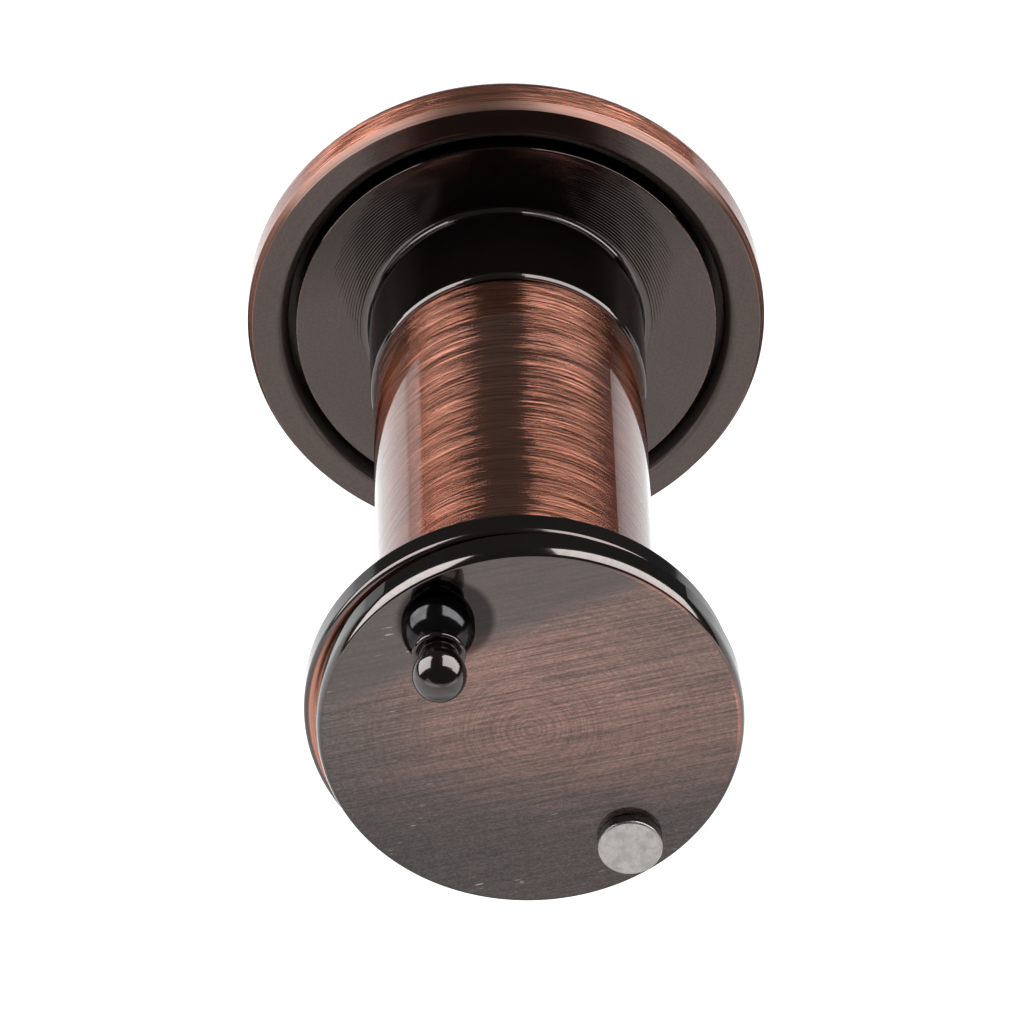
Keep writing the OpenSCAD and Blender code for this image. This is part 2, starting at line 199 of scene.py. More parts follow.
table_drop = 130 * mm
table_half = 2.2
screen_h = 310 * mm
screen_top = screen_h - table_drop
table_corners = [
    (-table_half, -table_half, -table_drop),
    (table_half, -table_half, -table_drop),
    (table_half, table_half, -table_drop),
    (-table_half, table_half, -table_drop),
    (0.0, table_half, -table_drop),
    (0.0, table_half, screen_top),
    (-table_half, table_half, screen_top),
]
table_mesh = bpy.data.meshes.new("table")
table_mesh.from_pydata(table_corners, [], [(0, 1, 2, 4, 3), (3, 4, 5, 6)])
table_mesh.materials.append(finish("white_table", table_top))
table = bpy.data.objects.new("table", table_mesh)
bpy.context.scene.collection.objects.link(table)

box_distance = 0.8


def panel_light(name, length, width, radiance, middle, along, behind):
    """Rectangular light of an even radiance. It runs along one direction and has its back to another."""
    light = bpy.data.lights.new(name, "AREA")
    light.shape = "RECTANGLE"
    light.size = length
    light.size_y = width
    light.energy = radiance * math.pi * length * width
    lamp = bpy.data.objects.new(name, light)
    lamp.location = middle
    lamp.rotation_mode = "QUATERNION"
    turn = Matrix((along, behind.cross(along), behind)).transposed()
    lamp.rotation_quaternion = turn.to_quaternion()
    bpy.context.scene.collection.objects.link(lamp)


def soft_box(name, slope, back, length, width, skew, radiance):
    """Light that faces the viewer, hung at a slope from overhead (to the right when positive).
    It runs along Y, is moved back from the viewer, and its outer end is skewed further back."""
    rear = Vector((0, 1, 0))
    towards = Vector((math.sin(slope), 0, math.cos(slope)))
    outwards = Vector((math.cos(slope), 0, -math.sin(slope))) * math.copysign(1, slope)
    along = rear * math.cos(skew) - outwards * math.sin(skew)
    middle = towards * box_distance + rear * back
    panel_light(name, length, width, radiance, middle, along, towards)


soft_box(
    "left_box", slope=math.radians(-56.3), back=0.225, length=0.85, width=0.80,
    skew=math.radians(15), radiance=5.9,
)
soft_box(
    "right_box", slope=math.radians(44.45), back=0.18, length=0.88, width=1.05,
    skew=math.radians(3), radiance=5.6,
)


def front_card(name, near, far, height, radiance):
    """Low light in front of the viewer, facing it, whose top edge rises from near to far."""
    near, far = Vector(near), Vector(far)
    along = (far - near).normalized()
    edge = (near + far) / 2
    away = (edge - along * edge.dot(along)).normalized()
    down = along.cross(away)
    if down.z > 0:
        down.negate()
    panel_light(name, (far - near).length, height, radiance, edge + down * height / 2, along, away)


card_foot = (0.087, -0.53, -table_drop)
front_card("left_card", near=card_foot, far=(-0.586, -0.51, 0.18), height=0.3, radiance=0.8)
front_card("right_card", near=card_foot, far=(0.70, -0.265, 0.045), height=0.2, radiance=0.8)
room = bpy.data.worlds.new("dim_room")
room.use_nodes = True
room.node_tree.nodes["Background"].inputs["Color"].default_value = grey(0.09)
bpy.context.scene.world = room

# Objective barrel
# Turned from one bar: a seat disc with fine lathe rings, a plain neck and a threaded tube.
# The plate on it is blackened; the neck keeps a black gloss and the disc is rubbed to a dark bronze.
barrel_low, barrel_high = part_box("objective_barrel")
boss_front = -barrel_high.y
tube_end = -barrel_low.y
disc_r = barrel_high.x
disc_t = 2.6 * mm
disc_round = 0.2 * mm
boss_r = 17.35 * mm
boss_round = 0.1 * mm
neck_r = 13.25 * mm
neck_l = 11.6 * mm
neck_root = 0.6 * mm
neck_edge = 0.35 * mm
neck_edge_l = 0.7 * mm
cell_r = 11.2 * mm
cell_seat = 9.6 * mm
tube_bore = 9.0 * mm
tube_round = 0.2 * mm
thread_crest = 11.5 * mm
thread_root = 10.95 * mm
thread_sink = 0.02 * mm
thread_turns = 36.0
pitch = 1.0 * mm
ring_pitch = 0.27 * mm
ring_depth = 0.015 * mm
ring_start = neck_r + neck_root + 0.05 * mm
ring_points = 8
ring_count = 22
ring_fade = 3
crease = math.radians(35)
copper = (0.64, 0.255, 0.17, 1)
disc_bronze = (0.058, 0.0505, 0.0475, 1)
plated = {
    "Metallic": 1.0,
    "Specular Tint": grey(0.05),
    "Coat Weight": 1.0,
    "Coat Roughness": 0.03,
    "Coat IOR": 1.5,
}


def rounded(corners, steps=6, guard=0.3):
    """Outline through corners given as (radius, station, rounding), with an arc at each rounded corner.
    A guard point a little before and after each arc keeps the flats beside it flat in shading."""
    outline = []
    for i, (r, s, rounding) in enumerate(corners):
        corner = Vector((r, s))
        if not rounding:
            outline.append(corner)
            continue
        before = (Vector(corners[i - 1][:2]) - corner).normalized()
        after = (Vector(corners[(i + 1) % len(corners)][:2]) - corner).normalized()
        half = before.angle(after) / 2
        reach = rounding / math.tan(half)
        centre = corner + (before + after).normalized() * (rounding / math.sin(half))
        start = corner + before * reach - centre
        end = corner + after * reach - centre
        turn = start.angle_signed(end)
        outline.append(centre + start + before * rounding * guard)
        for k in range(steps + 1):
            a = math.atan2(start.y, start.x) - turn * k / steps
            outline.append(centre + Vector((math.cos(a), math.sin(a))) * rounding)
        outline.append(centre + end + after * rounding * guard)
    return outline


def quarter(steps):
    """Angles of a quarter turn, both ends included."""
    return [math.pi / 2 * k / steps for k in range(steps + 1)]


def eased(r, station, depth, length, steps=8):
    """Quarter ellipse from a straight side at radius r to an end face, eased over depth and length."""
    points = []
    for a in quarter(steps):
        points.append(Vector((r - depth + depth * math.cos(a), station - length + length * math.sin(a))))
    return points


def new_tree(name, inputs, output):
    """Empty geometry tree with named inputs, and the wire of its inputs."""
    tree = bpy.data.node_groups.new(name, "GeometryNodeTree")
    for label, kind in inputs.items():
        tree.interface.new_socket(label, in_out="INPUT", socket_type="NodeSocket" + kind)
    tree.interface.new_socket(output, in_out="OUTPUT", socket_type="NodeSocketGeometry")
    return tree, Wire(tree).add("NodeGroupInput")


def lathe_tree():
    """Node tree that spins a row of points (radius, 0, station) about the viewer axis into a closed skin."""
    tree, given = new_tree("lathe", {"Outline": "Geometry", "Segments": "Int", "Axis": "Vector"}, "Skin")
    wire = Wire(tree)
    weld = 1e-7
    count = wire.add("GeometryNodeAttributeDomainSize", {}, {0: given.out("Outline")})
    segments = given.out("Segments")
    grid = wire.add("GeometryNodeMeshGrid", {}, {"Vertices X": segments + 1, "Vertices Y": count})
    index = wire.add("GeometryNodeInputIndex")
    turn = wire.math("FLOOR", index / count)
    position = wire.add("GeometryNodeInputPosition")
    sampled = wire.add(
        "GeometryNodeSampleIndex", {"data_type": "FLOAT_VECTOR"},
        {0: given.out("Outline"), "Value": position, "Index": index - turn * count},
    )
    point = wire.add("ShaderNodeSeparateXYZ", {}, {0: sampled})
    angle = turn / segments * math.tau
    reach = point.out("X")
    across = reach * wire.math("COSINE", angle)
    up = reach * wire.math("SINE", angle)
    ring = wire.vector(across, point.out("Z") * -1.0, up)
    placed = wire.add("ShaderNodeVectorMath", {"operation": "ADD"}, {0: ring, 1: given.out("Axis")})
    skin = wire.add("GeometryNodeSetPosition", {}, {0: grid, "Position": placed})
    skin = wire.add("GeometryNodeMergeByDistance", {}, {0: skin, "Distance": weld})
    bend = wire.add("GeometryNodeInputMeshEdgeAngle")
    soft = wire.add("FunctionNodeCompare", {"operation": "LESS_THAN"}, {0: bend, 1: crease})
    skin = wire.add("GeometryNodeSetShadeSmooth", {"domain": "EDGE"}, {0: skin, "Shade Smooth": soft})
    skin = wire.add("GeometryNodeRealizeInstances", {}, {0: skin})
    wire.add("NodeGroupOutput", {}, {0: skin})
    return tree


def from_tree(name, mesh, tree, inputs, material):
    """Object whose mesh is what a node tree makes of a starting mesh."""
    start = bpy.data.objects.new(name + "_start", mesh)
    bpy.context.scene.collection.objects.link(start)
    modifier = start.modifiers.new("tree", "NODES")
    modifier.node_group = tree
    for item in tree.interface.items_tree:
        if item.in_out == "INPUT" and item.name in inputs:
            modifier[item.identifier] = inputs[item.name]
    made = start.evaluated_get(bpy.context.evaluated_depsgraph_get())
    piece = bpy.data.objects.new(name, bpy.data.meshes.new_from_object(made))
    piece.data.materials.clear()
    piece.data.materials.append(material)
    bpy.data.objects.remove(start)
    bpy.context.scene.collection.objects.link(piece)
    return piece


lathe = lathe_tree()


def turned(name, outline, material, axis=(0, 0), closed=True, segments=256):
    """Piece turned from an outline of (radius, station) points, about an axis at (x, z)."""
    points = [(p[0], 0, p[1]) for p in outline]
    if closed:
        points.append(points[0])
    mesh = bpy.data.meshes.new(name + "_outline")
    mesh.from_pydata(points, [], [])
    inputs = {"Segments": segments, "Axis": (axis[0], 0.0, axis[1])}
    return from_tree(name, mesh, lathe, inputs, material)


def dress(piece, body, slot, *nodes):
    """Puts a finished piece on its body in place of the solids that it stands for."""
    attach(piece, body)
    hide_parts(*nodes)


def radius(wire, x, z):
    """Distance from an axis along Y, given the distances across and up from it."""
    return wire.math("SQRT", x * x + z * z)


def disc_finish(wire, x, y, z):
    """Lathe-turned dark bronze, with a trace of copper on its edge, and painted shade darkening its upper
    part.
    """
    r = radius(wire, x, z)
    lines = wire.noise(r * 9, x / 30, z / 30, detail=3.0)
    fine = wire.noise(r * 40, x / 9, z / 9, detail=1.0)
    cloud = wire.noise(x / 9, y / 9, z / 9, detail=3.0)
    grain = wire.noise(x * 4, y * 4, z * 4, detail=1.0)
    rim = disc_r / mm
    edge = r.ramp(rim - 0.23, rim - 0.15) * y.ramp(0.2, 0.4, 1.0, 0.0) * grain.ramp(0.4, 0.7, 0.0, 0.12)
    bare = cloud.ramp(0.35, 0.75, 0.0, 0.01) + lines.ramp(0.4, 0.8, 0.0, 0.015)
    bare = bare + grain.ramp(0.3, 0.7, 0.0, 0.035) + edge
    # Painted shade: the bronze is made darker towards the top of the disc.
    painted_top_shade = (z - x * 0.15 + (cloud - 0.5) * 4).ramp(3.0, 16.0, 1.0, 0.46)
    lean = ((lines - 0.5) * 0.04 + (fine - 0.5) * 0.08) / r
    return {
        **plated,
        "Metallic": 0.92,
        "Coat Weight": 0.3,
        "Coat Roughness": 0.1,
        "Base Color": wire.blend(bare, disc_bronze, copper).times(painted_top_shade),
        "Roughness": lines.ramp(0.2, 0.8, 0.08, 0.12),
        "Normal": wire.tilted(x * lean, 0.0, z * lean),
    }


def black_gloss(wire, x, y, z):
    """Polished black plate, a little uneven."""
    cloud = wire.noise(x / 3, y / 3, z / 3, detail=4.0)
    fine = wire.noise(x * 6, y * 6, z * 6, detail=2.0)
    return {
        **plated,
        "Metallic": 0.95,
        "Specular Tint": grey(0.1),
        "Base Color": wire.blend(cloud, (0.036, 0.028, 0.026, 1), (0.044, 0.034, 0.032, 1)),
        "Roughness": fine.ramp(0.3, 0.7, 0.10, 0.16),
    }


def neck_gloss(wire, x, y, z):
    """Black gloss, duller down the neck's side than on its rounded end and in its root."""
    end_y = -neck_l / mm
    root_y = -neck_root / mm
    side = y.ramp(end_y + 0.6, end_y + 0.8) * y.ramp(root_y - 0.2, root_y + 0.1, 1.0, 0.0)
    root = y.ramp(root_y, root_y + 0.15)
    gloss = black_gloss(wire, x, y, z)
    return {
        **gloss,
        "Base Color": wire.blend(root, gloss["Base Color"], (0.05, 0.04, 0.038, 1)),
        "Coat Weight": 1 - side * 0.5,
    }


def thread_finish(wire, x, y, z):
    """Dark brass as the thread die left it."""
    cloud = wire.noise(x / 2, y / 2, z / 2, detail=4.0)
    lines = wire.noise(x / 2, y * 12, z / 2, detail=2.0)
    return {
        "Metallic": 1.0,
        "Base Color": wire.blend(cloud, (0.34, 0.19, 0.13, 1), (0.16, 0.10, 0.08, 1)),
        "Roughness": lines.ramp(0.2, 0.8, 0.25, 0.45),
    }


disc_outline = rounded([
    (neck_r + neck_root, 0, 0),
    (cell_r, 0, 0),
    (cell_r, boss_front, 0),
    (boss_r, boss_front, boss_round),
    (boss_r, -disc_t, 0),
    (disc_r, -disc_t, 0),
    (disc_r, 0, disc_round),
])
for i in reversed(range(ring_count * ring_points + 1)):
    ring = i / ring_points
    depth = ring_depth * min(1, ring_fade * (1 - ring / ring_count))
    wave = (1 - math.cos(math.tau * ring)) / 2
    disc_outline.append(Vector((ring_start + ring_pitch * ring, -depth * wave)))
disc_metal = finish("lathe_turned_bronze", disc_finish)
seat_disc = turned("seat_disc", disc_outline, disc_metal, segments=320)
dress(seat_disc, "objective", "dark_bronze", "objective_barrel")

neck_outline = [Vector((cell_r, 0))]
for a in quarter(8):
    neck_outline.append(Vector((neck_r + neck_root * (1 - math.sin(a)), neck_root * (1 - math.cos(a)))))
neck_outline.append(Vector((neck_r, neck_l / 2)))
neck_outline += eased(neck_r, neck_l, neck_edge, neck_edge_l)
neck_outline += rounded([(thread_root, neck_l, 0), (thread_root, cell_seat, 0), (cell_r, cell_seat, 0)])
neck = turned("neck", neck_outline, finish("neck_gloss_plate", neck_gloss), segments=320)
dress(neck, "objective", "dark_bronze", "objective_barrel")

tube_outline = rounded([
    (tube_bore, cell_seat, 0),
    (thread_root, cell_seat, 0),
    (thread_root, tube_end, tube_round),
    (tube_bore, tube_end, tube_round),
])
tube_metal = finish("dark_threaded_brass", thread_finish)
dress(turned("threaded_tube", tube_outline, tube_metal), "objective", "dark_bronze", "objective_barrel")


def helix_tree():
    """Node tree for a screw thread: a ridge that climbs a right-hand helix about the viewer axis."""
    inputs = dict.fromkeys(("Turns", "Pitch", "Root", "Crest", "Station"), "Float")
    tree, given = new_tree("helix", {"Start": "Geometry", **inputs}, "Ridge")
    wire = Wire(tree)
    steps_per_turn = 48
    foot_share, top_share = 0.6, 0.1
    root, crest, rise = given.out("Root"), given.out("Crest"), given.out("Pitch")
    middle = (root + crest) * 0.5
    path = wire.add("GeometryNodeCurveSpiral", {}, {
        "Resolution": steps_per_turn,
        "Rotations": given.out("Turns"),
        "Start Radius": middle,
        "End Radius": middle,
        "Height": given.out("Turns") * rise,
    })
    path = wire.add("GeometryNodeSetCurveNormal", {"mode": "Z_UP"}, {0: path})
    ridge = wire.add("GeometryNodeCurvePrimitiveQuadrilateral", {"mode": "TRAPEZOID"}, {
        "Bottom Width": rise * foot_share,
        "Top Width": rise * top_share,
        "Height": crest - root,
        "Offset": 0.0,
    })
    ridge = wire.add("GeometryNodeTransform", {}, {0: ridge, "Rotation": (0, 0, -math.pi / 2)})
    skin = wire.add("GeometryNodeCurveToMesh", {}, {0: path, "Profile Curve": ridge, "Fill Caps": True})
    shift = wire.vector(0.0, 0.0, given.out("Station"))
    skin = wire.add("GeometryNodeTransform", {}, {0: skin, "Translation": shift})
    skin = wire.add("GeometryNodeTransform", {}, {0: skin, "Rotation": (math.pi / 2, 0, 0)})
    skin = wire.add("GeometryNodeRealizeInstances", {}, {0: skin})
    wire.add("NodeGroupOutput", {}, {0: skin})
    return tree


thread_sizes = {
    "Turns": thread_turns,
    "Pitch": pitch,
    "Root": thread_root - thread_sink,
    "Crest": thread_crest,
    "Station": neck_l + pitch,
}
thread_start = bpy.data.meshes.new("thread_start")
thread = from_tree("screw_thread", thread_start, helix_tree(), thread_sizes, tube_metal)
dress(thread, "objective", "dark_bronze", "objective_barrel")

# Lens cell
# A moulded black cartridge dropped into the neck, with two hollow lenses, a spacer and a retaining ring.
# A black stop ring in the end of the tube keeps stray light out.


def moulded_black(wire, x, y, z):
    grain = wire.noise(x * 8, y * 8, z * 8, detail=3.0)
    cloud = wire.noise(x / 4, y / 4, z / 4)
    return {
        "Base Color": wire.blend(cloud, (0.012, 0.012, 0.012, 1), (0.022, 0.021, 0.020, 1)),
        "Roughness": grain.ramp(0.2, 0.8, 0.45, 0.65),
    }


def polished_glass(wire, x, y, z):
    smear = wire.noise(x / 5, y / 5, z / 5, detail=3.0)
    return {
        "Base Color": wire.blend(smear, (0.93, 0.97, 0.97, 1), (0.98, 1.0, 1.0, 1)),
        "Roughness": smear.ramp(0.45, 0.8, 0.0, 0.02),
        "Transmission Weight": 1.0,
        "IOR": 1.52,
    }


def coat_node(material, *nodes):
    """Gives CAD nodes that keep their own shape a better material."""
    for node in nodes:
        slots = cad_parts[node].data.materials
        slots.clear()
        slots.append(material)


cell_black = finish("moulded_black", moulded_black)
lens_glass = finish("polished_lens_glass", polished_glass)
coat_node(cell_black, "lens_cell", "lens_spacer", "cell_retaining_ring", "field_stop")
coat_node(lens_glass, "second_lens", "third_lens")

# Front lens and seal
# A wide glass lens, ground to a dome in front and a hollow behind.
# Its rim is clamped between the barrel's boss and a flat rubber seal under the bezel's lip.
lens_low, lens_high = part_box("front_lens")
lens_r = lens_high.x
lens_back = -lens_low.y
lens_edge = 1.4 * mm
lens_front = lens_back - lens_edge
lens_round = 0.1 * mm
dome_rim = 13.45 * mm
dome_r = 34.0 * mm
hollow_rim = 12.0 * mm
hollow_r = 26.0 * mm
lens_steps = 24


def cap(ball_r, rim_r, rim_station, steps):
    """Points of a ball's cap, domed towards the street, from its axis to its rim."""
    centre = rim_station + math.sqrt(ball_r ** 2 - rim_r ** 2)
    reach = math.asin(rim_r / ball_r)
    angles = [reach * k / steps for k in range(steps + 1)]
    return [Vector((ball_r * math.sin(a), centre - ball_r * math.cos(a))) for a in angles]


front_outline = cap(dome_r, dome_rim, lens_front, lens_steps)
front_outline += rounded([
    (dome_rim, lens_front, 0),
    (lens_r, lens_front, lens_round),
    (lens_r, lens_back, lens_round),
    (hollow_rim, lens_back, 0),
])
front_outline += reversed(cap(hollow_r, hollow_rim, lens_back, lens_steps))
dress(turned("domed_lens", front_outline, lens_glass, closed=False), "objective", "lens_glass", "front_lens")


def soft_rubber(wire, x, y, z):
    grain = wire.noise(x * 5, y * 5, z * 5, detail=3.0)
    return {
        "Base Color": wire.blend(grain, grey(0.016), grey(0.030)),
        "Roughness": grain.ramp(0.2, 0.8, 0.6, 0.8),
    }


coat_node(finish("soft_rubber", soft_rubber), "front_lens_seal")

# Outer bezel
# A turned copper-plated ring with a domed front, screwed over the lens onto the barrel's boss.
# Its rim and its back chamfer are brushed back to copper, and its flat back keeps most of the black.
bezel_low, bezel_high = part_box("outer_bezel")
rim_r = bezel_high.x
rim_back = -bezel_low.y
crest = -bezel_high.y
crest_r = 16.6 * mm
rim_chamfer = 0.45 * mm
rim_chamfer_l = 0.95 * mm
rim_chamfer_round = 0.08 * mm
rim_round = 0.15 * mm
rim_h = 2.75 * mm
rim_end = rim_back - rim_chamfer_l - rim_h
rim_inner = 22.4 * mm
groove_round = 1.35 * mm
aperture = 13.5 * mm
lip_back = -5.9 * mm
lip_front = -6.5 * mm
lip_round = 0.15 * mm
pocket_r = 21.05 * mm
fit_gap = 0.05 * mm
dome_steps = 14
back_bronze = (0.060, 0.0515, 0.048, 1)
# Painted shade colour for the bezel's groove.
painted_groove_shade = (0.035, 0.029, 0.027, 1)


def bezel_finish(wire, x, y, z):
    """Copper brushed around the rim, with painted shade dimming the copper on the domed front and near the
    lip; the back is turned and dark, and painted shade makes its groove nearly black.
    """
    r = radius(wire, x, z)
    strokes = wire.noise(x / 18, y * 2.2, z / 18, detail=1.0) * 0.45
    strokes = strokes + wire.noise(x / 14, y * 6.0, z / 14, detail=0.0) * 0.55
    fine = wire.noise(x / 4, y * 40, z / 4, detail=1.0)
    turned_lines = wire.noise(r * 9, x / 24, z / 24, detail=3.0)
    turned_fine = wire.noise(r * 40, x / 9, z / 9, detail=1.0)
    grain = wire.noise(x * 4, y * 4, z * 4, detail=1.0)
    flat_r = (rim_r - rim_chamfer) / mm
    chamfer_y = rim_chamfer_l / mm
    dome_y = -rim_end / mm
    back = r.ramp(flat_r - 0.05, flat_r + 0.03, 1.0, 0.0) * y.ramp(dome_y - 0.75, dome_y - 0.15, 1.0, 0.0)
    # Painted shade: the groove's rounded mouth is made nearly black, less metallic and uncoated.
    groove = back * r.ramp(pocket_r / mm + 0.25, rim_inner / mm, 1.0, 0.0)
    chamfer = y.ramp(chamfer_y, chamfer_y + 0.1, 1.0, 0.0) * (1 - back)
    # Painted shade: less copper shows towards the front of the dome and towards the lip round the aperture.
    domed = y.ramp(dome_y - 0.15, dome_y + 2.85, 1.0, 0.72)
    lip = r.ramp(aperture / mm + 0.1, crest_r / mm - 0.2, 0.5, 1.0)
    brushed = strokes.ramp(0.3, 0.7, 0.58, 1.0) * domed * lip
    worn = strokes.ramp(0.35, 0.6, 0.05, 0.2)
    rubbed = turned_lines.ramp(0.3, 0.8, 0.0, 0.02) + grain.ramp(0.3, 0.7, 0.0, 0.035)
    bare = brushed * (1 - back) * (1 - chamfer) + chamfer * worn + back * rubbed
    lean = ((turned_lines - 0.5) * 0.06 + (turned_fine - 0.5) * 0.1) * back / r
    along = (fine - 0.5) * 1.4 * (1 - back)
    dark = wire.blend(groove, back_bronze, painted_groove_shade)
    return {
        **plated,
        "Metallic": 1 - groove * 0.62 - back * 0.08,
        "Coat Weight": (1 - back * 0.7 - chamfer * 0.92) * (1 - groove),
        "Coat Roughness": 0.12,
        "Base Color": wire.blend(bare * (1 - groove), dark, copper),
        "Roughness": strokes.ramp(0.2, 0.8, 0.24, 0.3) - back * 0.14 + chamfer * 0.1,
        "Normal": wire.tilted(x * lean, along, z * lean),
    }


bezel_outline = rounded([
    (rim_inner, rim_back, 0),
    (rim_r - rim_chamfer, rim_back, rim_chamfer_round),
    (rim_r, rim_back - rim_chamfer_l, rim_round),
    (rim_r, rim_end, 0),
])
for a in quarter(dome_steps)[1:]:
    dome_in = crest_r + (rim_r - crest_r) * math.cos(a)
    bezel_outline.append(Vector((dome_in, rim_end + (crest - rim_end) * math.sin(a))))
bezel_outline += rounded([
    (crest_r, crest, 0),
    (aperture, lip_front, lip_round),
    (aperture, lip_back, 0),
    (lens_r + fit_gap, lip_back, 0),
    (lens_r + fit_gap, boss_front - fit_gap, 0),
    (boss_r + fit_gap, boss_front - fit_gap, 0),
    (boss_r + fit_gap, -disc_t, 0),
    (pocket_r, -disc_t, 0),
    (pocket_r, rim_back - groove_round, 0),
])[1:]
for a in quarter(dome_steps)[1:-1]:
    groove_in = rim_inner - groove_round * math.cos(a)
    bezel_outline.append(Vector((groove_in, rim_back - groove_round + groove_round * math.sin(a))))
bezel_outline.reverse()
bezel = turned("brushed_bezel", bezel_outline, finish("bezel_copper", bezel_finish), segments=360)
dress(bezel, "objective", "copper_lacquer", "outer_bezel")

# Eyepiece sleeve
# A drawn tube, brushed round and round with a coarse belt so that copper shows through, then lacquered.
# It screws onto the barrel's thread from the room and its end is fixed in the flange.
sleeve_low, sleeve_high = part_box("eyepiece_sleeve")
sleeve_r = sleeve_high.x
sleeve_start = -sleeve_high.y
sleeve_end = -sleeve_low.y
sleeve_bore = 11.55 * mm
sleeve_chamfer = 0.15 * mm
eye_seat = 11.35 * mm
eye_shoulder = 9.3 * mm
eye_front = 54.95 * mm
eye_back = 56.15 * mm
red_copper = (0.22, 0.052, 0.019, 1)
pale_copper = (0.585, 0.272, 0.193, 1)


def sleeve_finish(wire, x, y, z):
    """Long bright hairs and crossing dark ones over a fine brushing, with painted light making it paler
    towards the street.
    """
    room_y, street_y = -45.0, -15.0
    strokes = wire.noise(x / 16, y * 1.1 + z / 30, z / 16, detail=1.0)
    hairs = wire.noise(x / 22, y * 4.0 - x / 10, z / 22 + 3, detail=1.0)
    crossed = wire.noise(x / 14, y * 3.4 + x / 7, z / 14 + 9, detail=1.0)
    grain = wire.noise(x / 5, y * 8.0, z / 5, detail=0.0)
    fine = wire.noise(x / 9, y * 60, z / 9, detail=1.0)
    bright = wire.math("ABSOLUTE", hairs - 0.5).ramp(0.0, 0.06, 0.34, 0.0)
    black = wire.math("ABSOLUTE", crossed - 0.5).ramp(0.0, 0.06, 0.36, 0.0)
    bare = (bright - black + 0.58) * strokes.ramp(0.3, 0.65, 0.9, 1.0) * grain.ramp(0.2, 0.6, 0.75, 1.0)
    # Painted light: the colour gets more copper and brighter towards the street end.
    bare = bare * y.ramp(room_y, street_y, 1.12, 1.5)
    painted_street_light = y.ramp(room_y, street_y, 0.94, 1.17)
    along = (fine - 0.5) * 1.25
    across = (hairs - 0.5) * 0.32 / radius(wire, x, z)
    return {
        **plated,
        "Base Color": wire.blend(bare, red_copper, pale_copper).times(painted_street_light),
        "Coat IOR": 1.65,
        "Roughness": strokes.ramp(0.2, 0.8, 0.15, 0.19),
        "Normal": wire.tilted(z * across * -1.0, along, x * across),
    }


sleeve_outline = rounded([
    (sleeve_bore, sleeve_start, 0),
    (sleeve_r - sleeve_chamfer, sleeve_start, 0),
    (sleeve_r, sleeve_start + sleeve_chamfer, 0),
    (sleeve_r, sleeve_end, 0),
    (eye_seat, sleeve_end, 0),
    (eye_seat, eye_back, 0),
    (eye_shoulder, eye_back, 0),
    (eye_shoulder, eye_front, 0),
    (sleeve_bore, eye_front, 0),
])
sleeve = turned("brushed_sleeve", sleeve_outline, finish("sleeve_copper", sleeve_finish), segments=320)
dress(sleeve, "eyepiece_barrel", "copper_lacquer", "eyepiece_sleeve")

# Eyepiece lens
# A bulged glass lens dropped into the sleeve's room end, which the user looks through.
# It is held between a spacer and a retaining ring, both moulded in black.
coat_node(lens_glass, "eyepiece_lens")
coat_node(cell_black, "eyepiece_spacer", "eyepiece_retaining_ring")

# Flange
# A thick turned washer fixed on the sleeve's end, which draws against the door.
# Its edge is black gloss and its front face is brushed back to copper. The rivet goes through a drilled hole.
flange_low, flange_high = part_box("eyepiece_flange")
flange_r = flange_high.x
flange_back = -flange_high.y
flange_front = -flange_low.y
flange_chamfer = 0.35 * mm
flange_round = 0.5 * mm
eye_hole = 10.0 * mm
eye_hole_round = 0.15 * mm
lip_t = 1.0 * mm
rivet_low, rivet_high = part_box("pivot_rivet")
rivet_axis = ((rivet_low.x + rivet_high.x) / 2, (rivet_low.z + rivet_high.z) / 2)
rivet_tail = -rivet_high.y
shank_r = 1.5 * mm
tail_spread = 0.45 * mm
rivet_play = 0.05 * mm
patina = (0.052, 0.036, 0.033, 1)


def flange_finish(wire, x, y, z):
    """Black plate, with the front face rubbed back to copper in rings."""
    front = -flange_front / mm
    rim = flange_r / mm
    r = radius(wire, x, z)
    lines = wire.noise(r * 7, x / 16, z / 16, detail=4.0, roughness=0.6)
    face = y.ramp(front + 0.02, front + 0.12, 1.0, 0.0) * r.ramp(rim - 0.55, rim - 0.35, 1.0, 0.0)
    bare = face * lines.ramp(0.3, 0.6, 0.4, 0.75)
    lean = (lines - 0.5) * 0.25 * face / r
    return {
        **plated,
        "Base Color": wire.blend(bare, patina, copper),
        "Coat Roughness": 0.1,
        "Roughness": face.ramp(0.0, 1.0, 0.18, 0.3),
        "Normal": wire.tilted(x * lean, 0.0, z * lean),
    }


def drilled(piece, *cutters):
    """Cuts turned cutters out of a piece."""
    for cutter in cutters:
        modifier = piece.modifiers.new("hole", "BOOLEAN")
        modifier.object = cutter
    mesh = bpy.data.meshes.new_from_object(piece.evaluated_get(bpy.context.evaluated_depsgraph_get()))
    mesh.set_sharp_from_angle(angle=crease)
    piece.modifiers.clear()
    piece.data = mesh
    for cutter in cutters:
        bpy.data.objects.remove(cutter)


def drill(name, outline, material, axis):
    """Turned cutter for a hole."""
    return turned(name, outline, material, axis, closed=False, segments=96)


